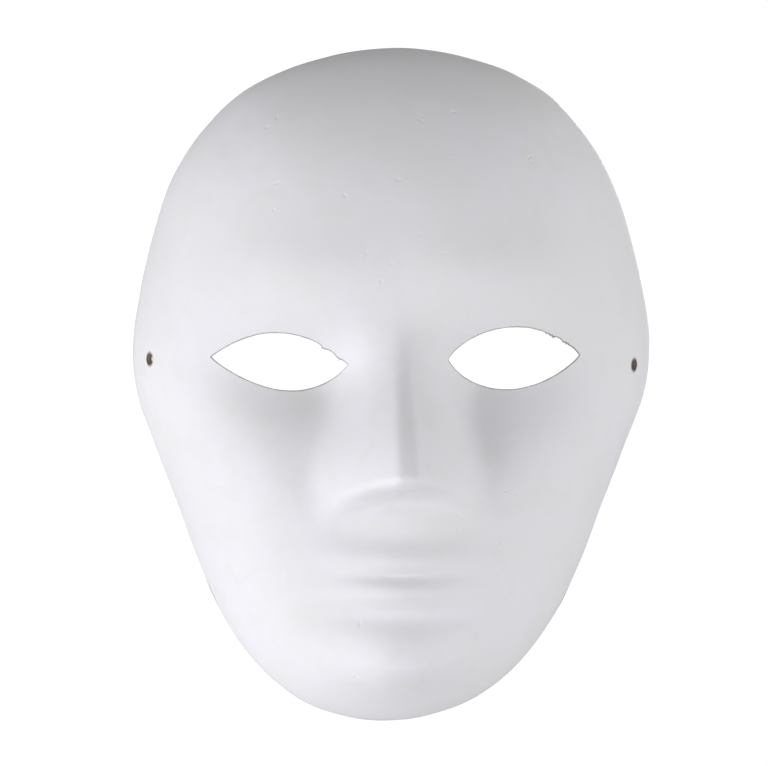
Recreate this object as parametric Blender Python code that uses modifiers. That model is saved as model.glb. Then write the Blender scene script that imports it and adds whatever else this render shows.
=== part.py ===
"""A blank full-face mask of moulded paper pulp, made to be painted and worn.

The mask comes apart into two plies: the pulp shell, which is the body that carries the strap, and
the smooth white coat laid over its front. Both follow one surface, the face form, which is given
here as a depth in front of the rear plane for each point of the front view.

Metres, +Z up. The face looks along -Y. The rims at the temples end on the rear plane y = 0, and
z = 0 is the height of the strap holes, so the origin is the middle of the opening for the face.
"""

from collections import namedtuple

import bmesh
import bpy
import numpy as np
from mathutils import Matrix, Vector

# Plies, from the front to the back.
COAT_THICKNESS = 0.0004
PLY_GAP = 0.0003
PULP_THICKNESS = 0.0011

# Half of the trimmed rim in the front view: distance from the middle, and height.
RIM_POINTS = (
    (0.0, 0.1117),
    (0.0270, 0.1078),
    (0.0507, 0.0980),
    (0.0677, 0.0823),
    (0.0789, 0.0640),
    (0.0858, 0.0430),
    (0.0902, 0.0240),
    (0.0923, 0.0060),
    (0.0905, -0.0110),
    (0.0836, -0.0300),
    (0.0755, -0.0500),
    (0.0674, -0.0700),
    (0.0570, -0.0900),
    (0.0440, -0.1065),
    (0.0290, -0.1176),
    (0.0135, -0.1230),
    (0.0, -0.1245),
)
RIM_STEPS = 24
# The rim was trimmed a little to one side: a shift, a lean and a bow, and more lean at the crown.
RIM_SHIFT = 0.0007
RIM_LEAN = 0.010
RIM_BOW = 0.16
RIM_CROWN_FROM = 0.060
RIM_CROWN_LEAN = 1.0

# Depth of the rim in front of the rear plane, at the temples, the crown and the chin.
TEMPLE_TRIM = 0.0006
CROWN_RIM_DEPTH = 0.004
CROWN_RIM_FROM = 0.050
CHIN_RIM_DEPTH = 0.026
CHIN_RIM_FROM = -0.020

# The dome that carries the features.
DOME_DEPTH = 0.061
DOME_MIDDLE_HEIGHT = -0.004
DOME_EDGE_SHARE = 0.985
# The dome is round over the brow and grows squarer, with steeper sides, towards the chin.
BROW_ROUNDNESS = 2.25
CHIN_ROUNDNESS = 6.0
BROW_ANGLE = 0.1
CHIN_ANGLE = -1.4
FEATURE_FADE_FROM = 0.80

# Soft rises and hollows on the dome. Those away from the middle are there on both sides.
Swell = namedtuple("Swell", "across up half_width half_height rise")
SWELLS = {
    "forehead": Swell(0.0, 0.060, 0.055, 0.036, 0.0055),
    "brow": Swell(0.032, 0.030, 0.030, 0.013, 0.0026),
    "nose_root": Swell(0.0, 0.010, 0.028, 0.018, -0.0030),
    "eye_socket": Swell(0.036, -0.003, 0.025, 0.016, -0.0106),
    "under_eye": Swell(0.0245, -0.009, 0.0095, 0.015, -0.0046),
    "cheek_hollow": Swell(0.034, -0.024, 0.011, 0.015, -0.0016),
    "cheekbone": Swell(0.056, -0.036, 0.020, 0.018, 0.0020),
    "muzzle": Swell(0.0, -0.070, 0.034, 0.031, 0.0088),
    "lip_base": Swell(0.0, -0.0512, 0.0195, 0.0050, 0.0034),
    "upper_lip": Swell(0.0, -0.0654, 0.022, 0.0050, 0.0042),
    "mouth_line": Swell(0.0, -0.0712, 0.0125, 0.0019, -0.0028),
    "lower_lip": Swell(0.0, -0.0764, 0.021, 0.0050, 0.0044),
    "lip_fold": Swell(0.0, -0.0847, 0.026, 0.0046, -0.0038),
    "chin": Swell(0.0, -0.1030, 0.024, 0.0160, 0.0128),
}
# Swells on one side only.
SIDE_SWELLS = {
    "right_cheek_hollow": Swell(0.0250, -0.022, 0.0085, 0.018, -0.0046),
}

# The nose is a wedge that grows from its root to its tip and ends on an arch.
NOSE_ROOT_HEIGHT = 0.010
NOSE_TIP_HEIGHT = -0.0375
NOSE_TIP_RISE = 0.0285
NOSE_RISE_START = -0.13
NOSE_RISE_END = 1.12
NOSE_SPREAD_START = -0.10
NOSE_SPREAD_END = 1.15
NOSE_ROOT_HALF_WIDTH = 0.0140
NOSE_TIP_HALF_WIDTH = 0.0285
NOSE_RIDGE_ROOT_FLAT = 0.0020
NOSE_RIDGE_TIP_FLAT = 0.0030
NOSE_RIDGE_RADIUS = 0.0007
NOSE_FLANK_BLEND = 0.14
NOSE_FLANK_POWER = 1.40
NOSE_WING_ABOVE_TIP = 0.006
NOSE_WING_DROP = 0.030
NOSE_WING_CLOSING = 0.17
NOSE_ARCH_DROP = 0.0016
NOSE_ARCH_BEND = 12.0
NOSE_BASE_BELOW = 0.0096
NOSE_BASE_ABOVE = 0.0012

# Eye openings, cut by hand, so the two differ: corners at the left and right, and the two bows.
Bow = namedtuple("Bow", "height skew fullness")
EyeOpening = namedtuple("EyeOpening", "left right upper lower")
EYE_OPENINGS = {
    "left_eye": EyeOpening(
        (-0.0636, 0.0014),
        (-0.0176, -0.0012),
        Bow(0.0093, 0.04, 1.0),
        Bow(-0.0100, 0.22, 0.86),
    ),
    "right_eye": EyeOpening(
        (0.0164, 0.0004),
        (0.0622, 0.0020),
        Bow(0.0102, -0.06, 0.80),
        Bow(-0.0108, -0.13, 0.84),
    ),
}
EYE_BOW_STEPS = 22
EYE_CUT_MIDDLE = -0.055
EYE_CUT_HALF_DEPTH = 0.035

# Punched strap holes: place in the front view, radius, and how much longer they are along the wall.
STRAP_HOLES = {"left_strap_hole": (-0.0852, 0.0008), "right_strap_hole": (0.0842, -0.0012)}
STRAP_HOLE_RADIUS = 0.0020
STRAP_HOLE_STRETCH = 1.18
STRAP_PUNCH_LENGTH = 0.012
STRAP_PUNCH_SIDES = 24

# The sheet is a square grid pulled out to the rim.
SHEET_COLUMNS = 40
SHEET_ROWS = 60
SLOPE_STEP = 0.0002

TRIM_BOX = Vector((0.26, 0.03, 0.30))


def smooth_step(start, end, value):
    """0 at start, 1 at end, with level ends."""
    share = np.clip((value - start) / (end - start), 0.0, 1.0)
    return share * share * (3.0 - 2.0 * share)


def rim_curve():
    """The half rim as a smooth curve through its points, from the crown to the chin."""
    points = np.array(RIM_POINTS)
    mirror = np.array((-1.0, 1.0))
    points = np.vstack([points[1] * mirror, points, points[-2] * mirror])
    share = np.linspace(0.0, 1.0, RIM_STEPS, endpoint=False)[:, None]
    stretches = []
    for before, start, end, after in zip(points, points[1:], points[2:], points[3:]):
        linear = end - before
        square = 2.0 * before - 5.0 * start + 4.0 * end - after
        cube = 3.0 * start - before - 3.0 * end + after
        stretches.append(0.5 * (2.0 * start + linear * share + square * share**2 + cube * share**3))
    return np.vstack(stretches + [points[-2:-1]])


RIM = rim_curve()
RIM_ANGLES = np.arctan2(RIM[:, 1] - DOME_MIDDLE_HEIGHT, RIM[:, 0])[::-1]
RIM_REACHES = np.hypot(RIM[:, 0], RIM[:, 1] - DOME_MIDDLE_HEIGHT)[::-1]


def rim_shift(up):
    """Sideways shift of the rim at one height."""
    crown = np.maximum(up - RIM_CROWN_FROM, 0.0)
    return RIM_SHIFT + RIM_LEAN * up - RIM_BOW * up**2 + RIM_CROWN_LEAN * crown**2


def rim_reach(angle):
    """Distance from the dome's middle to the rim, at an angle above the horizontal."""
    return np.interp(angle, RIM_ANGLES, RIM_REACHES)


def rim_depth(up):
    """Depth of the rim in front of the rear plane; the temples start behind it and are trimmed."""
    crown = CROWN_RIM_DEPTH * smooth_step(CROWN_RIM_FROM, RIM_POINTS[0][1], up)
    chin = CHIN_RIM_DEPTH * smooth_step(CHIN_RIM_FROM, RIM_POINTS[-1][1], up)
    return crown + chin - TEMPLE_TRIM


def swell_rise(across, up, swell):
    """Height of one swell."""
    sideways = (across - swell.across) / swell.half_width
    upwards = (up - swell.up) / swell.half_height
    return swell.rise * np.exp(-(sideways**2) - upwards**2)


def nose_rise(across, up):
    """Height of the nose over the dome."""
    down_share = (NOSE_ROOT_HEIGHT - up) / (NOSE_ROOT_HEIGHT - NOSE_TIP_HEIGHT)
    ridge_rise = NOSE_TIP_RISE * smooth_step(NOSE_RISE_START, NOSE_RISE_END, down_share)
    down_share = smooth_step(NOSE_SPREAD_START, NOSE_SPREAD_END, down_share)
    half_width = NOSE_ROOT_HALF_WIDTH + (NOSE_TIP_HALF_WIDTH - NOSE_ROOT_HALF_WIDTH) * down_share
    wing_drop = NOSE_TIP_HEIGHT + NOSE_WING_ABOVE_TIP - up
    half_width = half_width * (1.0 - NOSE_WING_CLOSING * smooth_step(0.0, NOSE_WING_DROP, wing_drop))
    ridge_flat = NOSE_RIDGE_ROOT_FLAT + (NOSE_RIDGE_TIP_FLAT - NOSE_RIDGE_ROOT_FLAT) * down_share
    past_ridge = np.abs(across) - ridge_flat
    past_ridge = past_ridge + np.hypot(past_ridge, NOSE_RIDGE_RADIUS)
    at_middle = np.hypot(ridge_flat, NOSE_RIDGE_RADIUS) - ridge_flat
    flank = 1.0 - 0.5 * (past_ridge - at_middle) / half_width
    flank = 0.5 * (flank + np.hypot(flank, NOSE_FLANK_BLEND))
    arch = NOSE_TIP_HEIGHT - NOSE_ARCH_DROP - NOSE_ARCH_BEND * across**2
    above_arch = smooth_step(-NOSE_BASE_BELOW, NOSE_BASE_ABOVE, up - arch)
    return ridge_rise * flank**NOSE_FLANK_POWER * above_arch


def face_depth(across, up):
    """Depth of the outer surface in front of the rear plane, for arrays of front-view points."""
    leaned = across - rim_shift(up)
    angle = np.arctan2(up - DOME_MIDDLE_HEIGHT, np.abs(leaned))
    share = np.hypot(leaned, up - DOME_MIDDLE_HEIGHT) / rim_reach(angle)
    share = np.clip(share, 0.0, 1.0)
    squareness = smooth_step(BROW_ANGLE, CHIN_ANGLE, angle)
    roundness = BROW_ROUNDNESS + (CHIN_ROUNDNESS - BROW_ROUNDNESS) * squareness
    bowl = np.sqrt(1.0 - (DOME_EDGE_SHARE * share) ** roundness)
    bowl_edge = np.sqrt(1.0 - DOME_EDGE_SHARE**roundness)
    dome_share = (bowl - bowl_edge) / (1.0 - bowl_edge)
    edge = rim_depth(up)
    features = nose_rise(across, up)
    for swell in SWELLS.values():
        features = features + swell_rise(np.abs(across), up, swell)
    for swell in SIDE_SWELLS.values():
        features = features + swell_rise(across, up, swell)
    fade = smooth_step(1.0, FEATURE_FADE_FROM, share)
    return edge + (DOME_DEPTH - edge) * dome_share + features * fade


def surface_point(across, up):
    """The point of the outer surface at one front-view place."""
    depth = face_depth(np.array([across]), np.array([up]))[0]
    return Vector((across, -depth, up))


def surface_normal(across, up):
    """The direction out of the front of the surface at one front-view place."""
    sideways = surface_point(across + SLOPE_STEP, up) - surface_point(across - SLOPE_STEP, up)
    upwards = surface_point(across, up + SLOPE_STEP) - surface_point(across, up - SLOPE_STEP)
    return sideways.cross(upwards).normalized()


def eye_outline(opening):
    """The almond outline of one eye opening, round from its left corner."""
    left = np.array(opening.left)
    right = np.array(opening.right)
    share = np.linspace(0.0, 1.0, EYE_BOW_STEPS)
    chord = left + (right - left) * share[:, None]
    bows = []
    for bow in (opening.upper, opening.lower):
        curve = (4.0 * share * (1.0 - share)) ** bow.fullness * (1.0 + bow.skew * (2.0 * share - 1.0))
        bows.append(chord + np.outer(bow.height * curve / curve.max(), (0.0, 1.0)))
    upper, lower = bows
    return np.vstack([lower, upper[-2:0:-1]])


def new_collection(name):
    collection = bpy.data.collections.new(name)
    bpy.context.scene.collection.children.link(collection)
    return collection


def new_material(name, colour, roughness):
    material = bpy.data.materials.new(name)
    material.use_nodes = True
    shader = material.node_tree.nodes["Principled BSDF"]
    shader.inputs["Base Color"].default_value = (*colour, 1.0)
    shader.inputs["Roughness"].default_value = roughness
    shader.inputs["Metallic"].default_value = 0.0
    material.diffuse_color = (*colour, 1.0)
    return material


def add_mesh_object(name, mesh_maker, collection):
    mesh = bpy.data.meshes.new(name)
    mesh_maker.to_mesh(mesh)
    mesh_maker.free()
    item = bpy.data.objects.new(name, mesh)
    collection.objects.link(item)
    return item


def mark_as_cutter(item):
    item.hide_render = True
    item.display_type = "WIRE"
    return item


def almond_cutter(name, opening, collection):
    """A prism along Y with an eye opening's outline, from a flat curve with an extrude."""
    outline = eye_outline(opening)
    curve = bpy.data.curves.new(name + "_outline", "CURVE")
    curve.dimensions = "2D"
    curve.fill_mode = "BOTH"
    curve.extrude = EYE_CUT_HALF_DEPTH
    spline = curve.splines.new("POLY")
    spline.points.add(len(outline) - 1)
    for point, (across, up) in zip(spline.points, outline):
        point.co = (across, up, 0.0, 1.0)
    spline.use_cyclic_u = True
    flat = bpy.data.objects.new(name + "_outline", curve)
    flat.location = (0.0, EYE_CUT_MIDDLE, 0.0)
    flat.rotation_euler = (np.pi / 2.0, 0.0, 0.0)
    collection.objects.link(flat)
    bpy.context.view_layer.update()
    evaluated = flat.evaluated_get(bpy.context.evaluated_depsgraph_get())
    mesh = bpy.data.meshes.new_from_object(evaluated)
    mesh_maker = bmesh.new()
    mesh_maker.from_mesh(mesh)
    bmesh.ops.remove_doubles(mesh_maker, verts=mesh_maker.verts, dist=0.00001)
    bmesh.ops.recalc_face_normals(mesh_maker, faces=mesh_maker.faces)
    prism = add_mesh_object(name, mesh_maker, collection)
    prism.matrix_world = flat.matrix_world
    bpy.data.objects.remove(flat)
    bpy.data.meshes.remove(mesh)
    return mark_as_cutter(prism)


def strap_punch(name, place, collection):
    """A punch square to the surface at a strap hole, a little longer along the wall than up it."""
    mesh_maker = bmesh.new()
    bmesh.ops.create_cone(
        mesh_maker,
        cap_ends=True,
        segments=STRAP_PUNCH_SIDES,
        radius1=STRAP_HOLE_RADIUS,
        radius2=STRAP_HOLE_RADIUS,
        depth=STRAP_PUNCH_LENGTH,
    )
    bmesh.ops.scale(mesh_maker, vec=(STRAP_HOLE_STRETCH, 1.0, 1.0), verts=mesh_maker.verts)
    punch = add_mesh_object(name, mesh_maker, collection)
    punch.location = surface_point(*place)
    punch.rotation_euler = surface_normal(*place).to_track_quat("Z", "Y").to_euler()
    return mark_as_cutter(punch)


def trim_box(name, collection):
    """The block behind the rear plane, which trims the temple rims flat."""
    mesh_maker = bmesh.new()
    place = Matrix.Translation((0.0, TRIM_BOX.y / 2.0, 0.0))
    bmesh.ops.create_cube(mesh_maker, size=1.0, matrix=place @ Matrix.Diagonal((*TRIM_BOX, 1.0)))
    return mark_as_cutter(add_mesh_object(name, mesh_maker, collection))


def face_sheet(inset):
    """The face form as an open sheet, moved back along its normals by the inset."""
    mesh_maker = bmesh.new()
    bmesh.ops.create_grid(mesh_maker, x_segments=SHEET_COLUMNS, y_segments=SHEET_ROWS, size=1.0)
    square = np.array([vertex.co[:2] for vertex in mesh_maker.verts], dtype=float)
    disc = square * np.sqrt(1.0 - square[:, ::-1] ** 2 / 2.0)
    angle = np.arctan2(disc[:, 1], np.abs(disc[:, 0]))
    reach = np.hypot(disc[:, 0], disc[:, 1]) * rim_reach(angle)
    up = DOME_MIDDLE_HEIGHT + reach * np.sin(angle)
    across = reach * np.cos(angle) * np.sign(disc[:, 0]) + rim_shift(up)
    depth = face_depth(across, up)
    for vertex, place in zip(mesh_maker.verts, zip(across, -depth, up)):
        vertex.co = place
    mesh_maker.normal_update()
    for vertex in mesh_maker.verts:
        vertex.co -= vertex.normal * inset
    return mesh_maker


def make_ply(name, inset, thickness, material, cutters, collection):
    """One ply of the mask: the sheet given a thickness, then cut."""
    ply = add_mesh_object(name, face_sheet(inset), collection)
    ply.data.materials.append(material)
    ply.data.shade_smooth()
    wall = ply.modifiers.new("wall", "SOLIDIFY")
    wall.thickness = thickness
    wall.offset = -1.0
    for cutter in cutters:
        cut = ply.modifiers.new(cutter.name, "BOOLEAN")
        cut.operation = "DIFFERENCE"
        cut.solver = "EXACT"
        cut.object = cutter
    return ply


def main():
    for item in list(bpy.data.objects):
        bpy.data.objects.remove(item)
    parts = new_collection("blank_face_mask")
    cutters = new_collection("cutters")

    cuts = [trim_box("rear_trim", cutters)]
    for name, opening in EYE_OPENINGS.items():
        cuts.append(almond_cutter(name, opening, cutters))
    for name, place in STRAP_HOLES.items():
        cuts.append(strap_punch(name, place, cutters))

    raw_pulp = new_material("raw_pulp", (0.78, 0.76, 0.72), 0.92)
    white_coat = new_material("white_coat", (0.86, 0.86, 0.87), 0.75)
    make_ply("face_coat", 0.0, COAT_THICKNESS, white_coat, cuts, parts)
    make_ply("pulp_shell", COAT_THICKNESS + PLY_GAP, PULP_THICKNESS, raw_pulp, cuts, parts)


main()
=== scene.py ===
"""The looks of a blank full-face mask of moulded paper pulp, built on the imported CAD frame.

Both plies are made again here on a much finer grid from the same face form, with rounded cut edges,
the small unevenness of moulded pulp, nicks in the coat and ragged fibre where the eyes were cut.

Metres, +Z up. The face looks along -Y and the temple rims end on the plane y = 0.
"""

import math
from collections import namedtuple

import bmesh
import bpy
import numpy as np
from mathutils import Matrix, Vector, kdtree, noise


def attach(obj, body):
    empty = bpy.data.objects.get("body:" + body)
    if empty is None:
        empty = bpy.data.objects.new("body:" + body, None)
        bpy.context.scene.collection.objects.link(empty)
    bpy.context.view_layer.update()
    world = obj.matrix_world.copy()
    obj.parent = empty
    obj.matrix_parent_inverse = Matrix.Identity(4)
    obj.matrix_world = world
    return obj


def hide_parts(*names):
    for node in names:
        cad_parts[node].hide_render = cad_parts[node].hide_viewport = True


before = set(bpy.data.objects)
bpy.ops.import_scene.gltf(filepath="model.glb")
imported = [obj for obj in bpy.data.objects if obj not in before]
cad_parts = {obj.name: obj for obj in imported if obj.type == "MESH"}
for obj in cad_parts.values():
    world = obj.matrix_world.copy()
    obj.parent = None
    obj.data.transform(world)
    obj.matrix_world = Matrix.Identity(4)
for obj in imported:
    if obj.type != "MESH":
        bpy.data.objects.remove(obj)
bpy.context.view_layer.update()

SEED = 7

# ---------------------------------------------------------------- face form, as in the CAD part

RIM_POINTS = (
    (0.0, 0.1117),
    (0.0270, 0.1078),
    (0.0507, 0.0980),
    (0.0677, 0.0823),
    (0.0789, 0.0640),
    (0.0858, 0.0430),
    (0.0902, 0.0240),
    (0.0923, 0.0060),
    (0.0905, -0.0110),
    (0.0836, -0.0300),
    (0.0755, -0.0500),
    (0.0674, -0.0700),
    (0.0570, -0.0900),
    (0.0440, -0.1065),
    (0.0290, -0.1176),
    (0.0135, -0.1230),
    (0.0, -0.1245),
)
RIM_STEPS = 24
# The rim was trimmed a little to one side: a shift, a lean and a bow, and more lean at the crown.
RIM_SHIFT = 0.0007
RIM_LEAN = 0.010
RIM_BOW = 0.16
RIM_CROWN_FROM = 0.060
RIM_CROWN_LEAN = 1.0

CROWN_RIM_DEPTH = 0.004
CROWN_RIM_FROM = 0.050
CHIN_RIM_DEPTH = 0.026
CHIN_RIM_FROM = -0.020

DOME_DEPTH = 0.061
DOME_MIDDLE_HEIGHT = -0.004
DOME_EDGE_SHARE = 0.985
BROW_ROUNDNESS = 2.25
CHIN_ROUNDNESS = 6.0
BROW_ANGLE = 0.1
CHIN_ANGLE = -1.4
FEATURE_FADE_FROM = 0.80

Swell = namedtuple("Swell", "across up half_width half_height rise")
SWELLS = {
    "forehead": Swell(0.0, 0.060, 0.055, 0.036, 0.0055),
    "brow": Swell(0.032, 0.030, 0.030, 0.013, 0.0026),
    "nose_root": Swell(0.0, 0.010, 0.028, 0.018, -0.0030),
    "eye_socket": Swell(0.036, -0.003, 0.025, 0.016, -0.0106),
    "under_eye": Swell(0.0245, -0.009, 0.0095, 0.015, -0.0046),
    "cheek_hollow": Swell(0.034, -0.024, 0.011, 0.015, -0.0016),
    "cheekbone": Swell(0.056, -0.036, 0.020, 0.018, 0.0020),
    "muzzle": Swell(0.0, -0.070, 0.034, 0.031, 0.0088),
    "lip_base": Swell(0.0, -0.0512, 0.0195, 0.0050, 0.0034),
    "upper_lip": Swell(0.0, -0.0654, 0.022, 0.0050, 0.0042),
    "mouth_line": Swell(0.0, -0.0712, 0.0125, 0.0019, -0.0028),
    "lower_lip": Swell(0.0, -0.0764, 0.021, 0.0050, 0.0044),
    "lip_fold": Swell(0.0, -0.0847, 0.026, 0.0046, -0.0038),
    "chin": Swell(0.0, -0.1030, 0.024, 0.0160, 0.0128),
}
# Swells on one side only.
SIDE_SWELLS = {
    "right_cheek_hollow": Swell(0.0250, -0.022, 0.0085, 0.018, -0.0046),
}

NOSE_ROOT_HEIGHT = 0.010
NOSE_TIP_HEIGHT = -0.0375
NOSE_TIP_RISE = 0.0285
NOSE_RISE_START = -0.13
NOSE_RISE_END = 1.12
NOSE_SPREAD_START = -0.10
NOSE_SPREAD_END = 1.15
NOSE_ROOT_HALF_WIDTH = 0.0140
NOSE_TIP_HALF_WIDTH = 0.0285
NOSE_RIDGE_ROOT_FLAT = 0.0020
NOSE_RIDGE_TIP_FLAT = 0.0030
NOSE_RIDGE_RADIUS = 0.0007
NOSE_FLANK_BLEND = 0.14
NOSE_FLANK_POWER = 1.40
NOSE_WING_ABOVE_TIP = 0.006
NOSE_WING_DROP = 0.030
NOSE_WING_CLOSING = 0.17
NOSE_ARCH_DROP = 0.0016
NOSE_ARCH_BEND = 12.0
NOSE_BASE_BELOW = 0.0096
NOSE_BASE_ABOVE = 0.0012

Bow = namedtuple("Bow", "height skew fullness")
EyeOpening = namedtuple("EyeOpening", "left right upper lower")
EYE_OPENINGS = {
    "left": EyeOpening(
        (-0.0636, 0.0014), (-0.0176, -0.0012),
        Bow(0.0093, 0.04, 1.0), Bow(-0.0100, 0.22, 0.86),
    ),
    "right": EyeOpening(
        (0.0164, 0.0004), (0.0622, 0.0020),
        Bow(0.0102, -0.06, 0.80), Bow(-0.0108, -0.13, 0.84),
    ),
}
EYE_BOW_STEPS = 220

STRAP_HOLES = {"left": (-0.0852, 0.0008), "right": (0.0842, -0.0012)}
STRAP_HOLE_RADIUS = 0.0020
STRAP_HOLE_STRETCH = 1.18

# ---------------------------------------------------------------- plies and their fine detail

COAT_WALL = 0.0004
PULP_WALL = 0.0013
COLUMNS = 196
ROWS = 236
EDGE_ROUNDING = 0.00016
INNER_EDGE_ROUNDING = 0.00030
EDGE_SEGMENTS = 2
EDGE_ANGLE = math.radians(50.0)
THICKNESS_CLAMP = 0.8
# How far the pulp's openings stand in from the coat's, and how much more ragged they are.
PULP_EYE_INSET = 0.00006
PULP_STRAP_INSET = 0.00045
PULP_RAGGEDNESS = 1.35
# Reach of the finer grid round the strap holes, the eye cuts and the nicks, coarse pass first.
STRAP_REFINING = (0.0056, 0.0044)
EYE_REFINING = 0.0011
NICK_REFINING = (0.0022, 0.0014)
OUTLINE_MARGIN = 0.002
STRAP_FIELD = 0.004
WELD_GAP = 0.00002
# Distances over which the marks for the materials run from 0 to 1.
EDGE_GAP_SPAN = 0.004
STRAP_GAP_SPAN = 0.008
# Unevenness of the trimmed rim: height, pace round the rim and layer of the noise.
RIM_WAVES = ((0.00030, 2.6, 4.0), (0.00022, 9.0, 8.0))
RIM_WAVE_POWER = 6
# Unevenness of the coat: height, pace and offset in the noise. It calms near an edge.
COAT_WAVES = ((0.00016, 38.0, 0.0), (0.00005, 140.0, 5.0), (0.000018, 520.0, 0.0))
COAT_CALM_SPAN = 0.003
COAT_CALM_SHARE = 0.2
# Unevenness of the felted back: height and pace, and the share of it that is left at an edge.
FELT = (0.00022, 120.0)
FELT_ROUGHNESS = 0.8
FELT_LACUNARITY = 2.0
FELT_OCTAVES = 3
FELT_GRAINS = (0.00010, 420.0)
FELT_WAVES = (0.00030, 30.0)
FELT_EDGE_SHARE = 0.35


def smooth_step(start, end, value):
    share = np.clip((value - start) / (end - start), 0.0, 1.0)
    return share * share * (3.0 - 2.0 * share)


def rim_curve():
    points = np.array(RIM_POINTS)
    mirror = np.array((-1.0, 1.0))
    points = np.vstack([points[1] * mirror, points, points[-2] * mirror])
    share = np.linspace(0.0, 1.0, RIM_STEPS, endpoint=False)[:, None]
    stretches = []
    for before, start, end, after in zip(points, points[1:], points[2:], points[3:]):
        linear = end - before
        square = 2.0 * before - 5.0 * start + 4.0 * end - after
        cube = 3.0 * start - before - 3.0 * end + after
        stretches.append(0.5 * (2.0 * start + linear * share + square * share**2 + cube * share**3))
    return np.vstack(stretches + [points[-2:-1]])


RIM = rim_curve()
RIM_ANGLES = np.arctan2(RIM[:, 1] - DOME_MIDDLE_HEIGHT, RIM[:, 0])[::-1]
RIM_REACHES = np.hypot(RIM[:, 0], RIM[:, 1] - DOME_MIDDLE_HEIGHT)[::-1]


def rim_shift(up):
    """Sideways shift of the rim at one height."""
    crown = np.maximum(up - RIM_CROWN_FROM, 0.0)
    return RIM_SHIFT + RIM_LEAN * up - RIM_BOW * up**2 + RIM_CROWN_LEAN * crown**2


def rim_reach(angle):
    return np.interp(angle, RIM_ANGLES, RIM_REACHES)


def rim_depth(up):
    crown = CROWN_RIM_DEPTH * smooth_step(CROWN_RIM_FROM, RIM_POINTS[0][1], up)
    chin = CHIN_RIM_DEPTH * smooth_step(CHIN_RIM_FROM, RIM_POINTS[-1][1], up)
    return crown + chin


def swell_rise(across, up, swell):
    sideways = (across - swell.across) / swell.half_width
    upwards = (up - swell.up) / swell.half_height
    return swell.rise * np.exp(-(sideways**2) - upwards**2)


def nose_rise(across, up):
    down_share = (NOSE_ROOT_HEIGHT - up) / (NOSE_ROOT_HEIGHT - NOSE_TIP_HEIGHT)
    ridge_rise = NOSE_TIP_RISE * smooth_step(NOSE_RISE_START, NOSE_RISE_END, down_share)
    down_share = smooth_step(NOSE_SPREAD_START, NOSE_SPREAD_END, down_share)
    half_width = NOSE_ROOT_HALF_WIDTH + (NOSE_TIP_HALF_WIDTH - NOSE_ROOT_HALF_WIDTH) * down_share
    wing_drop = NOSE_TIP_HEIGHT + NOSE_WING_ABOVE_TIP - up
    half_width = half_width * (1.0 - NOSE_WING_CLOSING * smooth_step(0.0, NOSE_WING_DROP, wing_drop))
    ridge_flat = NOSE_RIDGE_ROOT_FLAT + (NOSE_RIDGE_TIP_FLAT - NOSE_RIDGE_ROOT_FLAT) * down_share
    past_ridge = np.abs(across) - ridge_flat
    past_ridge = past_ridge + np.hypot(past_ridge, NOSE_RIDGE_RADIUS)
    at_middle = np.hypot(ridge_flat, NOSE_RIDGE_RADIUS) - ridge_flat
    flank = 1.0 - 0.5 * (past_ridge - at_middle) / half_width
    flank = 0.5 * (flank + np.hypot(flank, NOSE_FLANK_BLEND))
    arch = NOSE_TIP_HEIGHT - NOSE_ARCH_DROP - NOSE_ARCH_BEND * across**2
    above_arch = smooth_step(-NOSE_BASE_BELOW, NOSE_BASE_ABOVE, up - arch)
    return ridge_rise * flank**NOSE_FLANK_POWER * above_arch


def face_depth(across, up):
    leaned = across - rim_shift(up)
    angle = np.arctan2(up - DOME_MIDDLE_HEIGHT, np.abs(leaned))
    share = np.hypot(leaned, up - DOME_MIDDLE_HEIGHT) / rim_reach(angle)
    share = np.clip(share, 0.0, 1.0)
    squareness = smooth_step(BROW_ANGLE, CHIN_ANGLE, angle)
    roundness = BROW_ROUNDNESS + (CHIN_ROUNDNESS - BROW_ROUNDNESS) * squareness
    bowl = np.sqrt(1.0 - (DOME_EDGE_SHARE * share) ** roundness)
    bowl_edge = np.sqrt(1.0 - DOME_EDGE_SHARE**roundness)
    dome_share = (bowl - bowl_edge) / (1.0 - bowl_edge)
    edge = rim_depth(up)
    features = nose_rise(across, up)
    for swell in SWELLS.values():
        features = features + swell_rise(np.abs(across), up, swell)
    for swell in SIDE_SWELLS.values():
        features = features + swell_rise(across, up, swell)
    fade = smooth_step(1.0, FEATURE_FADE_FROM, share)
    return edge + (DOME_DEPTH - edge) * dome_share + features * fade


def surface_point(across, up):
    return Vector((across, -face_depth(np.array([across]), np.array([up]))[0], up))


def surface_normal(across, up, step=0.0002):
    sideways = surface_point(across + step, up) - surface_point(across - step, up)
    upwards = surface_point(across, up + step) - surface_point(across, up - step)
    return sideways.cross(upwards).normalized()


def wander(values, scale, seed):
    """Smooth one-dimensional noise along an array of positions."""
    return np.array([noise.noise((value * scale, seed, 0.5)) for value in values])


# Ragged places of the eye cuts: middle and half length as shares of the bow, and how far they stand in.
Burr = namedtuple("Burr", "side bow middle half_length reach")
BURRS = (
    Burr("right", "upper", 0.765, 0.034, 0.00120),
    Burr("right", "upper", 0.884, 0.038, 0.00130),
    Burr("left", "upper", 0.825, 0.030, 0.00085),
    Burr("left", "upper", 0.934, 0.030, 0.00080),
)
CUT_WANDER = 0.00012


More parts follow.
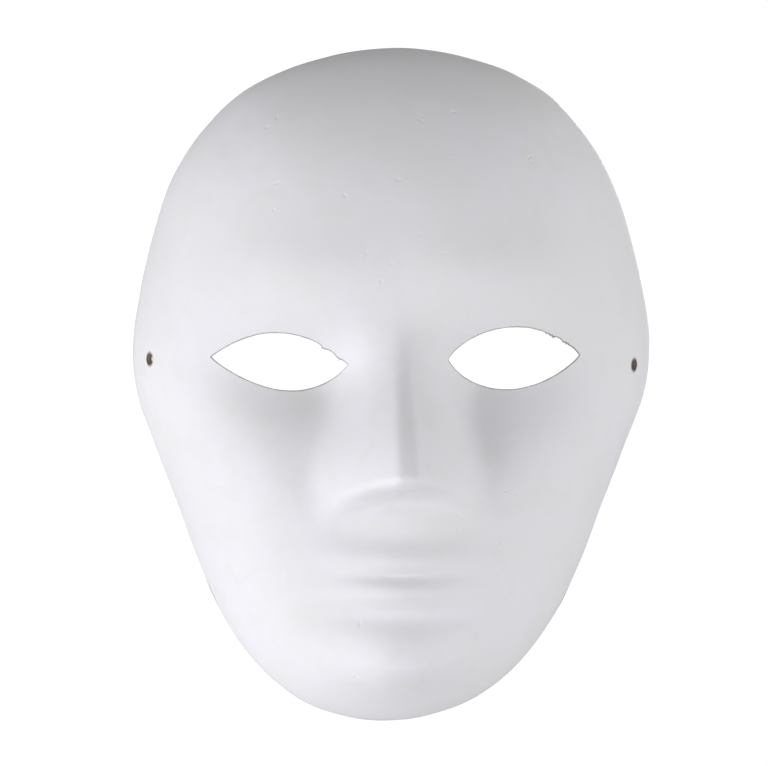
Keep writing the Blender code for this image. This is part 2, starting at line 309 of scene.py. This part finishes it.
def eye_outline(side, inset=0.0, ragged=1.0):
    """The outline of one eye opening, round from its left corner, with the unevenness of a hand cut."""
    opening = EYE_OPENINGS[side]
    left = np.array(opening.left)
    right = np.array(opening.right)
    share = 0.5 - 0.5 * np.cos(np.linspace(0.0, math.pi, EYE_BOW_STEPS))
    chord = left + (right - left) * share[:, None]
    fade = np.clip(6.0 * share * (1.0 - share), 0.0, 1.0)
    bows = {}
    for name in ("upper", "lower"):
        bow = getattr(opening, name)
        inward = -math.copysign(1.0, bow.height)
        curve = (4.0 * share * (1.0 - share)) ** bow.fullness
        curve = curve * (1.0 + bow.skew * (2.0 * share - 1.0))
        seed = 3.7 if side == "left" else 9.1
        rise = bow.height * curve / curve.max() + inward * inset * fade
        unevenness = wander(share, 9.0, seed) + 0.6 * wander(share, 31.0, seed + inward)
        rise = rise + fade * CUT_WANDER * unevenness
        for burr in BURRS:
            if (burr.side, burr.bow) == (side, name):
                window = np.exp(-(((share - burr.middle) / burr.half_length) ** 4))
                teeth = np.clip(0.35 + wander(share, 55.0, seed) + 0.6 * wander(share, 150.0, seed), 0.0, 1.0)
                rise = rise + inward * ragged * burr.reach * window * teeth
        bows[name] = chord + np.outer(rise, (0.0, 1.0))
    return np.vstack([bows["lower"], bows["upper"][-2:0:-1]])


def inside_outline(outline, across, up):
    """For each front-view point, whether it lies inside a closed outline."""
    inside = np.zeros(len(across), dtype=bool)
    for (x0, z0), (x1, z1) in zip(outline, np.roll(outline, -1, axis=0)):
        crosses = (z0 > up) != (z1 > up)
        if crosses.any():
            inside ^= crosses & (across < x0 + (up - z0) * (x1 - x0) / (z1 - z0 if z1 != z0 else 1.0))
    return inside


def nearest_on_outline(outline, across, up):
    """The nearest place on a closed outline to one point, and its distance."""
    start = outline
    along = np.roll(outline, -1, axis=0) - start
    away = np.array((across, up)) - start
    share = np.clip((away * along).sum(1) / np.maximum((along * along).sum(1), 1e-18), 0.0, 1.0)
    places = start + along * share[:, None]
    gaps = np.hypot(*(places - (across, up)).T)
    nearest = int(gaps.argmin())
    return places[nearest], gaps[nearest]


def from_axis(point, centre, axis):
    """The offset of a point from a hole's axis, with the hole's longer way taken in to a circle."""
    offset = point - centre
    offset = offset - axis * offset.dot(axis)
    return Vector((offset.x / STRAP_HOLE_STRETCH, offset.y / STRAP_HOLE_STRETCH, offset.z))


def point_tree(places):
    tree = kdtree.KDTree(len(places))
    for index, place in enumerate(places):
        tree.insert(place, index)
    tree.balance()
    return tree


def faces_near(sheet, tree, reach):
    return [face for face in sheet.faces if tree.find(face.calc_center_median())[2] < reach]


def refine(sheet, faces, cuts=1):
    edges = {edge for face in faces for edge in face.edges}
    bmesh.ops.subdivide_edges(sheet, edges=list(edges), cuts=cuts, use_grid_fill=True)


def drop_to_surface(vertices):
    across = np.array([vertex.co.x for vertex in vertices])
    up = np.array([vertex.co.z for vertex in vertices])
    for vertex, depth in zip(vertices, face_depth(across, up)):
        vertex.co.y = -depth


Nick = namedtuple("Nick", "place long wide turn depth")
# Where the coat is nicked: left, right, low and high limits, and how many nicks.
NICK_FIELDS = (
    (-0.045, 0.058, 0.026, 0.092, 18),
    (0.018, 0.058, -0.084, -0.040, 8),
    (-0.045, 0.030, -0.112, -0.080, 6),
)
# Least and most half width, length as a multiple of it, and depth; then the middle and spread of the turn.
NICK_WIDTHS = (0.00038, 0.00060)
NICK_STRETCHES = (1.1, 3.0)
NICK_DEPTHS = (0.00014, 0.00030)
NICK_TURNS = (0.3, 0.8)
NICK_REACH = 0.004
NICK_LIP = 0.55


def choose_nicks():
    """Shallow nicks and pits in the coat."""
    chance = np.random.default_rng(SEED)
    nicks = []
    for left, right, low, high, count in NICK_FIELDS:
        for _ in range(count):
            place = (chance.uniform(left, right), chance.uniform(low, high))
            wide = chance.uniform(*NICK_WIDTHS)
            long = wide * chance.uniform(*NICK_STRETCHES)
            turn = chance.normal(*NICK_TURNS)
            nicks.append(Nick(place, long, wide, turn, chance.uniform(*NICK_DEPTHS)))
    return nicks


NICKS = choose_nicks()


def nick_rise(place, nick):
    """Height of one nick at a point: a shallow dent with a low raised lip."""
    across = place.x - nick.place[0]
    up = place.z - nick.place[1]
    along = (across * math.cos(nick.turn) + up * math.sin(nick.turn)) / nick.long
    aside = (up * math.cos(nick.turn) - across * math.sin(nick.turn)) / nick.wide
    square = along * along + aside * aside
    return -nick.depth * (1.0 - NICK_LIP * square) * math.exp(-square)


def rim_wave(turn):
    return sum(
        height * noise.noise((pace * math.cos(turn), pace * math.sin(turn), layer))
        for height, pace, layer in RIM_WAVES
    )


def front_sheet(columns, rows, opening_inset, strap_inset, ragged):
    """The face form as an open sheet with its openings, its edges lying on the true outlines."""
    sheet = bmesh.new()
    bmesh.ops.create_grid(sheet, x_segments=columns, y_segments=rows, size=1.0)
    square = np.array([vertex.co[:2] for vertex in sheet.verts], dtype=float)
    disc = square * np.sqrt(1.0 - square[:, ::-1] ** 2 / 2.0)
    angle = np.arctan2(disc[:, 1], np.abs(disc[:, 0]))
    share = np.hypot(disc[:, 0], disc[:, 1])
    turn = np.arctan2(disc[:, 1], disc[:, 0])
    rim_wander = np.array([rim_wave(t) for t in turn])
    reach = share * (rim_reach(angle) + rim_wander * share**RIM_WAVE_POWER)
    up = DOME_MIDDLE_HEIGHT + reach * np.sin(angle)
    across = reach * np.cos(angle) * np.sign(disc[:, 0]) + rim_shift(up)
    for vertex, place in zip(sheet.verts, zip(across, -face_depth(across, up), up)):
        vertex.co = place

    strap_centres = [surface_point(*place) for place in STRAP_HOLES.values()]
    strap_axes = [surface_normal(*place) for place in STRAP_HOLES.values()]
    strap_tree = point_tree(strap_centres)
    for reach in STRAP_REFINING:
        refine(sheet, faces_near(sheet, strap_tree, reach))
        drop_to_surface(sheet.verts)
    outlines = [eye_outline(side, opening_inset, ragged) for side in EYE_OPENINGS]
    flat_tree = point_tree([(across, 0.0, up) for outline in outlines for across, up in outline])
    near = []
    for face in sheet.faces:
        centre = face.calc_center_median()
        centre.y = 0.0
        if flat_tree.find(centre)[2] < EYE_REFINING:
            near.append(face)
    refine(sheet, near)
    drop_to_surface(sheet.verts)

    # Faces inside an opening go, and the edge that is left is drawn onto the outline.
    for outline in outlines:
        faces = list(sheet.faces)
        centres = np.array([face.calc_center_median() for face in faces])
        inside = inside_outline(outline, centres[:, 0], centres[:, 2])
        bmesh.ops.delete(sheet, geom=[f for f, gone in zip(faces, inside) if gone], context="FACES")
        edge = {v for e in sheet.edges if e.is_boundary for v in e.verts}
        low = outline.min(axis=0) - OUTLINE_MARGIN
        high = outline.max(axis=0) + OUTLINE_MARGIN
        edge = [v for v in edge if low[0] < v.co.x < high[0] and low[1] < v.co.z < high[1]]
        for vertex in edge:
            (vertex.co.x, vertex.co.z), _ = nearest_on_outline(outline, vertex.co.x, vertex.co.z)
        for corner in (outline[0], outline[EYE_BOW_STEPS - 1]):
            closest = min(edge, key=lambda v: math.hypot(v.co.x - corner[0], v.co.z - corner[1]))
            closest.co.x, closest.co.z = corner
        drop_to_surface(edge)
    radius = STRAP_HOLE_RADIUS - strap_inset
    for centre, axis in zip(strap_centres, strap_axes):
        faces = [f for f in sheet.faces if (f.calc_center_median() - centre).length < STRAP_FIELD]
        gone = [f for f in faces if from_axis(f.calc_center_median(), centre, axis).length < radius]
        near = {v for f in faces for v in f.verts}
        bmesh.ops.delete(sheet, geom=gone, context="FACES")
        near = [v for v in near if v.is_valid and v.is_boundary]
        for vertex in near:
            offset = from_axis(vertex.co, centre, axis).normalized() * radius
            stretched = (offset.x * STRAP_HOLE_STRETCH, offset.y * STRAP_HOLE_STRETCH, offset.z)
            vertex.co = centre + Vector(stretched)
        drop_to_surface(near)
    bmesh.ops.remove_doubles(sheet, verts=sheet.verts, dist=WELD_GAP)
    bmesh.ops.dissolve_degenerate(sheet, edges=sheet.edges, dist=WELD_GAP)
    return sheet


def mark_edges(sheet, distances):
    """Writes how far each point is from a cut edge and from a strap hole, for the materials."""
    edge_layer = sheet.verts.layers.float.new("edge_gap")
    strap_layer = sheet.verts.layers.float.new("strap_gap")
    strap_tree = point_tree([surface_point(*place) for place in STRAP_HOLES.values()])
    for vertex, distance in zip(sheet.verts, distances):
        vertex[edge_layer] = min(distance / EDGE_GAP_SPAN, 1.0)
        vertex[strap_layer] = min(strap_tree.find(vertex.co)[2] / STRAP_GAP_SPAN, 1.0)
    return edge_layer


def new_piece(name, sheet):
    mesh = bpy.data.meshes.new(name)
    sheet.to_mesh(mesh)
    sheet.free()
    piece = bpy.data.objects.new(name, mesh)
    bpy.context.scene.collection.objects.link(piece)
    mesh.shade_smooth()
    return piece


def round_edges(piece, width):
    soft = piece.modifiers.new("soft_edges", "BEVEL")
    soft.width = width
    soft.segments = EDGE_SEGMENTS
    soft.limit_method = "ANGLE"
    soft.angle_limit = EDGE_ANGLE


def edge_distance(sheet):
    """For each vertex, a rough distance to the nearest free edge."""
    tree = point_tree([v.co for v in sheet.verts if v.is_boundary])
    return [tree.find(v.co)[2] for v in sheet.verts]


def make_coat():
    sheet = front_sheet(COLUMNS, ROWS, 0.0, 0.0, 1.0)
    nick_tree = point_tree([surface_point(*nick.place) for nick in NICKS])
    for reach in NICK_REFINING:
        refine(sheet, faces_near(sheet, nick_tree, reach))
    dented = [v for v in sheet.verts if nick_tree.find(v.co)[2] < NICK_REACH and not v.is_boundary]
    drop_to_surface(dented)
    sheet.normal_update()
    distances = edge_distance(sheet)
    moves = []
    for vertex, distance in zip(sheet.verts, distances):
        place = vertex.co
        rise = 0.0
        for height, pace, offset in COAT_WAVES:
            rise += height * noise.noise(place * pace + Vector((offset, 0.0, 0.0)))
        (_, index, gap) = nick_tree.find(place)
        if gap < NICK_REACH:
            rise += nick_rise(place, NICKS[index])
        rise *= min(distance / COAT_CALM_SPAN, 1.0) * (1.0 - COAT_CALM_SHARE) + COAT_CALM_SHARE
        moves.append(vertex.normal * rise)
    for vertex, move in zip(sheet.verts, moves):
        vertex.co += move
    mark_edges(sheet, distances)
    piece = new_piece("mask_white_coat", sheet)
    wall = piece.modifiers.new("wall", "SOLIDIFY")
    wall.thickness = COAT_WALL
    wall.offset = -1.0
    wall.use_even_offset = True
    wall.thickness_clamp = THICKNESS_CLAMP
    round_edges(piece, EDGE_ROUNDING)
    return piece


# The eye openings were punched straight back, so the wall near them runs straight back too.
EYE_CUT_REACH = 0.004
EYE_FIELD = (0.070, 0.020)
LEAST_FACING = 0.5


def eye_edge_tree(sheet):
    edge = [v.co.copy() for v in sheet.verts if v.is_boundary]
    wide, high = EYE_FIELD
    return point_tree([place for place in edge if abs(place.x) < wide and abs(place.z) < high])


def inward_way(vertex, eye_tree):
    """The way through the wall at a point, one unit deep."""
    share = max(1.0 - eye_tree.find(vertex.co)[2] / EYE_CUT_REACH, 0.0)
    straight = Vector((0.0, 1.0, 0.0)) / max(-vertex.normal.y, LEAST_FACING)
    return (-vertex.normal).lerp(straight, share)


def make_pulp():
    sheet = front_sheet(COLUMNS, ROWS, PULP_EYE_INSET, PULP_STRAP_INSET, PULP_RAGGEDNESS)
    sheet.normal_update()
    distances = edge_distance(sheet)
    eye_tree = eye_edge_tree(sheet)
    moves = [inward_way(vertex, eye_tree) * COAT_WALL for vertex in sheet.verts]
    for vertex, move in zip(sheet.verts, moves):
        vertex.co += move
    layer = mark_edges(sheet, distances)
    # The back skin, with the felt-like unevenness of the side that the suction screen never touched.
    faces = list(sheet.faces)
    edge = [e for e in sheet.edges if e.is_boundary]
    sheet.normal_update()
    copy = bmesh.ops.duplicate(sheet, geom=faces)
    back_faces = [item for item in copy["geom"] if isinstance(item, bmesh.types.BMFace)]
    twin = {item: copy["vert_map"][item] for item in copy["vert_map"] if isinstance(item, bmesh.types.BMVert)}
    front = {v for f in faces for v in f.verts}
    for vertex in front:
        place = vertex.co
        rough = FELT[0] * noise.fractal(place * FELT[1], FELT_ROUGHNESS, FELT_LACUNARITY, FELT_OCTAVES)
        rough += FELT_GRAINS[0] * abs(noise.noise(place * FELT_GRAINS[1]))
        rough += FELT_WAVES[0] * noise.noise(place * FELT_WAVES[1])
        felted = FELT_EDGE_SHARE + (1.0 - FELT_EDGE_SHARE) * vertex[layer]
        twin[vertex].co = place + inward_way(vertex, eye_tree) * (PULP_WALL + rough * felted)
    bmesh.ops.reverse_faces(sheet, faces=back_faces)
    for item in edge:
        loop = item.link_loops[0]
        a = loop.vert
        b = loop.link_loop_next.vert
        if a in twin and b in twin:
            wall = sheet.faces.new((b, a, twin[a], twin[b]))
            wall.smooth = True
    piece = new_piece("mask_pulp_shell", sheet)
    round_edges(piece, INNER_EDGE_ROUNDING)
    return piece


def flatten_rear(piece):
    """The temple rims were trimmed on one plane."""
    for vertex in piece.data.vertices:
        vertex.co.y = min(vertex.co.y, 0.0)


FIBRES_AT_BURR = 9
FIBRE_SPREAD = 0.6
FIBRE_ROOT_DEPTHS = (0.0003, 0.0013)
FIBRE_ROOT_LIFT = 0.0002
FIBRE_LENGTHS = (0.0004, 0.0012)
FIBRE_RADII = (0.00004, 0.00008)
FIBRE_CURL = 0.6
FIBRE_TAPER = 0.7
FIBRE_RINGS = 5
FIBRE_SIDES = 5


def make_fibres():
    """Loose pulp fibres left standing in the ragged part of the eye cuts."""
    chance = np.random.default_rng(SEED + 1)
    sheet = bmesh.new()
    for burr in BURRS:
        outline = eye_outline(burr.side, 0.0, 1.0)
        upper = outline[EYE_BOW_STEPS - 1:][::-1]
        shares = 0.5 - 0.5 * np.cos(np.linspace(0.0, math.pi, EYE_BOW_STEPS))
        for _ in range(FIBRES_AT_BURR):
            share = chance.normal(burr.middle, burr.half_length * FIBRE_SPREAD)
            index = int(np.clip(np.searchsorted(shares, share), 1, len(upper) - 2))
            across, up = upper[index]
            root = Vector((0.0, chance.uniform(*FIBRE_ROOT_DEPTHS), FIBRE_ROOT_LIFT))
            base = surface_point(across, up) + root
            length = chance.uniform(*FIBRE_LENGTHS)
            aim = Vector((chance.normal(0.0, 0.7), chance.normal(0.0, 0.35), -1.0)).normalized()
            curl = Vector((chance.normal(0.0, 0.8), chance.normal(0.0, 0.3), 0.0)) * length
            radius = chance.uniform(*FIBRE_RADII)
            rings = []
            for step in range(FIBRE_RINGS):
                along = step / (FIBRE_RINGS - 1)
                centre = base + aim * length * along + curl * along * along * FIBRE_CURL
                side_way = aim.cross(Vector((0.0, 1.0, 0.0))).normalized()
                depth_way = aim.cross(side_way).normalized()
                thin = radius * (1.0 - FIBRE_TAPER * along)
                ring = []
                for corner in range(FIBRE_SIDES):
                    turn = corner * math.tau / FIBRE_SIDES
                    outward = side_way * math.cos(turn) + depth_way * math.sin(turn)
                    ring.append(sheet.verts.new(centre + outward * thin))
                rings.append(ring)
            for lower, higher in zip(rings, rings[1:]):
                for a in range(FIBRE_SIDES):
                    b = (a + 1) % FIBRE_SIDES
                    sheet.faces.new((lower[a], lower[b], higher[b], higher[a]))
            sheet.faces.new(rings[0][::-1])
            sheet.faces.new(rings[-1])
    bmesh.ops.recalc_face_normals(sheet, faces=sheet.faces)
    return new_piece("eye_cut_fibres", sheet)


# ---------------------------------------------------------------- materials


class Nodes:
    """Small helper for building one material's nodes."""

    def __init__(self, name):
        self.material = bpy.data.materials.new(name)
        self.material.use_nodes = True
        self.tree = self.material.node_tree
        self.shader = self.tree.nodes["Principled BSDF"]
        self.place = self.add("ShaderNodeTexCoord").outputs["Object"]

    def add(self, kind, **values):
        node = self.tree.nodes.new(kind)
        for key, value in values.items():
            setattr(node, key, value)
        return node

    def link(self, source, target):
        self.tree.links.new(source, target)

    def noise(self, scale, detail=3.0, roughness=0.5, distortion=0.0):
        node = self.add("ShaderNodeTexNoise")
        self.link(self.place, node.inputs["Vector"])
        node.inputs["Scale"].default_value = scale
        node.inputs["Detail"].default_value = detail
        node.inputs["Roughness"].default_value = roughness
        node.inputs["Distortion"].default_value = distortion
        return node.outputs["Fac"]

    def ramp(self, source, low, high, at_low=0.0, at_high=1.0):
        node = self.add("ShaderNodeMapRange")
        self.link(source, node.inputs["Value"])
        node.inputs["From Min"].default_value = low
        node.inputs["From Max"].default_value = high
        node.inputs["To Min"].default_value = at_low
        node.inputs["To Max"].default_value = at_high
        return node.outputs["Result"]

    def math(self, operation, first, second):
        node = self.add("ShaderNodeMath", operation=operation)
        for socket, value in zip(node.inputs, (first, second)):
            if isinstance(value, (int, float)):
                socket.default_value = value
            else:
                self.link(value, socket)
        return node.outputs[0]

    def mix(self, factor, first, second, blend="MIX"):
        node = self.add("ShaderNodeMix", data_type="RGBA", blend_type=blend)
        for socket, value in ((node.inputs[0], factor), (node.inputs[6], first), (node.inputs[7], second)):
            if isinstance(value, (int, float)):
                socket.default_value = value
            elif isinstance(value, tuple):
                socket.default_value = (*value, 1.0)
            else:
                self.link(value, socket)
        return node.outputs[2]

    def bump(self, height, strength, distance, normal=None):
        node = self.add("ShaderNodeBump")
        self.link(height, node.inputs["Height"])
        node.inputs["Strength"].default_value = strength
        node.inputs["Distance"].default_value = distance
        if normal is not None:
            self.link(normal, node.inputs["Normal"])
        return node.outputs["Normal"]

    def attribute(self, name):
        return self.add("ShaderNodeAttribute", attribute_name=name).outputs["Fac"]

    def voronoi(self, scale, feature="F1"):
        node = self.add("ShaderNodeTexVoronoi", feature=feature)
        self.link(self.place, node.inputs["Vector"])
        node.inputs["Scale"].default_value = scale
        return node.outputs["Distance"]


COAT_COOL = (0.866, 0.865, 0.892)
COAT_WARM = (0.846, 0.848, 0.844)
COAT_PATCH = (0.832, 0.836, 0.822)
COAT_GRAIN = (0.815, 0.815, 0.830)
COAT_WORN = (0.60, 0.57, 0.52)
# Near-black painted shade laid along every cut edge of the coat.
CUT_EDGE_PAINTED_SHADE = (0.12, 0.11, 0.10)
# Dark painted shade for the coat round the strap holes.
COAT_STRAP_HOLE_SHADE = (0.30, 0.24, 0.20)
COAT_SPECK = (0.55, 0.53, 0.50)
PULP_PALE = (0.80, 0.785, 0.755)
PULP_DARK = (0.74, 0.722, 0.688)
PULP_FIBRE = (0.66, 0.640, 0.600)
PULP_FLECK = (0.42, 0.39, 0.35)
PULP_CUT = (0.60, 0.575, 0.54)
# Very dark painted shade for the pulp in and round the strap holes.
PULP_STRAP_HOLE_SHADE = (0.16, 0.125, 0.10)


def white_coat_material():
    n = Nodes("white_coat_look")
    cloud = n.noise(24.0, 3.0, 0.55, 0.4)
    blotch = n.noise(95.0, 2.0, 0.5, 0.6)
    grain = n.noise(1500.0, 2.0, 0.6)
    colour = n.mix(n.ramp(cloud, 0.35, 0.68), COAT_COOL, COAT_WARM)
    colour = n.mix(n.ramp(blotch, 0.50, 0.68, 0.0, 0.7), colour, COAT_PATCH)
    colour = n.mix(n.ramp(grain, 0.30, 0.75, 0.0, 0.35), colour, COAT_GRAIN)
    gap = n.attribute("edge_gap")
    worn = n.math("MULTIPLY", n.ramp(gap, 0.16, 0.0), n.ramp(n.noise(420.0, 3.0, 0.6), 0.42, 0.60))
    colour = n.mix(n.math("MULTIPLY", worn, 0.75), colour, COAT_WORN)
    # A thin near-black line of painted shade along every cut edge, where the cut wall would lie in shadow.
    painted_edge_shade = n.math("MULTIPLY", n.ramp(gap, 0.105, 0.0), n.ramp(n.noise(160.0, 2.0), 0.30, 0.62, 0.50, 1.0))
    colour = n.mix(painted_edge_shade, colour, CUT_EDGE_PAINTED_SHADE)
    # Painted shade darkens the coat in a ring round each strap hole.
    strap_hole_shade = n.ramp(n.attribute("strap_gap"), 0.40, 0.26)
    colour = n.mix(n.math("MULTIPLY", strap_hole_shade, 0.8), colour, COAT_STRAP_HOLE_SHADE)
    specks = n.math("MULTIPLY", n.ramp(n.voronoi(310.0), 0.11, 0.05), n.ramp(n.noise(60.0, 2.0), 0.60, 0.66))
    colour = n.mix(n.math("MULTIPLY", specks, 0.16), colour, COAT_SPECK)
    n.link(colour, n.shader.inputs["Base Color"])
    rough = n.ramp(n.noise(70.0, 4.0, 0.6), 0.3, 0.7, 0.70, 0.84)
    rough = n.math("ADD", rough, n.math("MULTIPLY", worn, 0.12))
    n.link(rough, n.shader.inputs["Roughness"])
    n.shader.inputs["Specular IOR Level"].default_value = 0.25
    first = n.bump(n.noise(330.0, 4.0, 0.55, 0.3), 0.30, 0.00010)
    second = n.bump(grain, 0.35, 0.00003, first)
    third = n.bump(n.ramp(n.voronoi(310.0), 0.10, 0.0, 0.0, -1.0), 0.35, 0.00005, second)
    n.link(third, n.shader.inputs["Normal"])
    return n.material


def raw_pulp_material():
    n = Nodes("raw_pulp_look")
    cloud = n.noise(32.0, 4.0, 0.6, 0.5)
    fibre = n.noise(760.0, 4.0, 0.65, 1.6)
    colour = n.mix(n.ramp(cloud, 0.32, 0.70), PULP_PALE, PULP_DARK)
    colour = n.mix(n.ramp(fibre, 0.45, 0.75, 0.0, 0.6), colour, PULP_FIBRE)
    flecks = n.math("MULTIPLY", n.ramp(n.voronoi(420.0), 0.16, 0.06), n.ramp(n.noise(130.0, 2.0), 0.54, 0.62))
    colour = n.mix(n.math("MULTIPLY", flecks, 0.5), colour, PULP_FLECK)
    gap = n.attribute("edge_gap")
    cut = n.math("MULTIPLY", n.ramp(gap, 0.09, 0.0), 0.55)
    colour = n.mix(cut, colour, PULP_CUT)
    # Painted shade darkens the pulp wall in and round each strap hole.
    strap_hole_shade = n.ramp(n.attribute("strap_gap"), 0.50, 0.28)
    colour = n.mix(n.math("MULTIPLY", strap_hole_shade, 0.9), colour, PULP_STRAP_HOLE_SHADE)
    n.link(colour, n.shader.inputs["Base Color"])
    n.link(n.ramp(fibre, 0.3, 0.7, 0.86, 0.97), n.shader.inputs["Roughness"])
    n.shader.inputs["Specular IOR Level"].default_value = 0.15
    felt = n.bump(fibre, 0.60, 0.00018)
    screen = n.bump(n.voronoi(620.0, "SMOOTH_F1"), 0.30, 0.00014, felt)
    n.link(n.bump(n.noise(190.0, 4.0, 0.6), 0.75, 0.00050, screen), n.shader.inputs["Normal"])
    return n.material


# ---------------------------------------------------------------- pieces

coat = make_coat()
pulp = make_pulp()
fibres = make_fibres()
for piece in (coat, pulp):
    flatten_rear(piece)

coat_look = white_coat_material()
pulp_look = raw_pulp_material()
coat.data.materials.append(coat_look)
pulp.data.materials.append(pulp_look)
fibres.data.materials.append(pulp_look)

for piece, slot_name in ((coat, "white_coat"), (pulp, "raw_pulp"), (fibres, "raw_pulp")):
    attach(piece, "root")
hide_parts("face_coat")
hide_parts("pulp_shell")

# ---------------------------------------------------------------- floor, light and camera

FLOOR_HEIGHT = -0.80
FLOOR_SIDE = 1.30
FLOOR_PALE = (0.90, 0.90, 0.90)
FLOOR_GREY = (0.88, 0.88, 0.885)


def make_floor():
    sheet = bmesh.new()
    bmesh.ops.create_grid(sheet, x_segments=8, y_segments=8, size=FLOOR_SIDE / 2.0)
    floor = new_piece("studio_floor", sheet)
    floor.location = (0.0, 0.0, FLOOR_HEIGHT)
    n = Nodes("studio_floor_look")
    n.link(n.mix(n.noise(9.0, 2.0), FLOOR_PALE, FLOOR_GREY), n.shader.inputs["Base Color"])
    n.shader.inputs["Roughness"].default_value = 0.9
    floor.data.materials.append(n.material)


def area_light(name, place, size, power, colour, seen):
    light = bpy.data.lights.new(name, "AREA")
    light.shape = "RECTANGLE"
    light.size, light.size_y = size
    light.energy = power
    light.color = colour
    lamp = bpy.data.objects.new(name, light)
    lamp.location = place
    lamp.visible_camera = seen
    lamp.rotation_euler = (LIGHT_TARGET - Vector(place)).to_track_quat("-Z", "Y").to_euler()
    bpy.context.scene.collection.objects.link(lamp)


LIGHT_TARGET = Vector((0.0, -0.05, 0.0))
Lamp = namedtuple("Lamp", "name place size power colour seen")
LAMPS = (
    Lamp("key", (-1.3, -0.45, -0.15), (1.6, 1.4), 15.3, (0.99, 0.98, 1.02), True),
    Lamp("fill", (1.3, -0.28, 0.20), (1.6, 1.0), 9.4, (1.0, 0.99, 1.01), True),
    Lamp("front", (-0.12, -1.8, -0.7), (1.2, 0.8), 10.2, (1.005, 0.985, 1.05), True),
    Lamp("rear", (0.42, 1.5, 0.32), (0.6, 0.6), 11.0, (1.0, 1.0, 1.0), False),
)
make_floor()
for lamp in LAMPS:
    area_light(*lamp)

AMBIENT = 0.262
BACKDROP = 1.05
world = bpy.data.worlds.new("studio")
bpy.context.scene.world = world
world.use_nodes = True
tree = world.node_tree
ambient = tree.nodes["Background"]
ambient.inputs["Color"].default_value = (1.0, 1.0, 1.0, 1.0)
ambient.inputs["Strength"].default_value = AMBIENT
backdrop = tree.nodes.new("ShaderNodeBackground")
backdrop.inputs["Color"].default_value = (1.0, 1.0, 1.0, 1.0)
backdrop.inputs["Strength"].default_value = BACKDROP
chooser = tree.nodes.new("ShaderNodeMixShader")
rays = tree.nodes.new("ShaderNodeLightPath")
tree.links.new(rays.outputs["Is Camera Ray"], chooser.inputs[0])
tree.links.new(ambient.outputs[0], chooser.inputs[1])
tree.links.new(backdrop.outputs[0], chooser.inputs[2])
tree.links.new(chooser.outputs[0], tree.nodes["World Output"].inputs[0])
bpy.context.scene.view_settings.view_transform = "Standard"

CAMERA_TARGET = Vector((-0.0024, 0.0, -0.0075))
CAMERA_AZIMUTH = math.radians(-3.3)
CAMERA_DISTANCE = 0.9
SENSOR_WIDTH = 36.0
LENS = 118.125
camera_data = bpy.data.cameras.new("camera")
camera_data.sensor_width = SENSOR_WIDTH
camera_data.lens = LENS
camera = bpy.data.objects.new("camera", camera_data)
back = Vector((math.sin(CAMERA_AZIMUTH), -math.cos(CAMERA_AZIMUTH), 0.0))
camera.location = CAMERA_TARGET + back * CAMERA_DISTANCE
camera.rotation_euler = (-back).to_track_quat("-Z", "Y").to_euler()
bpy.context.scene.collection.objects.link(camera)
bpy.context.scene.camera = camera
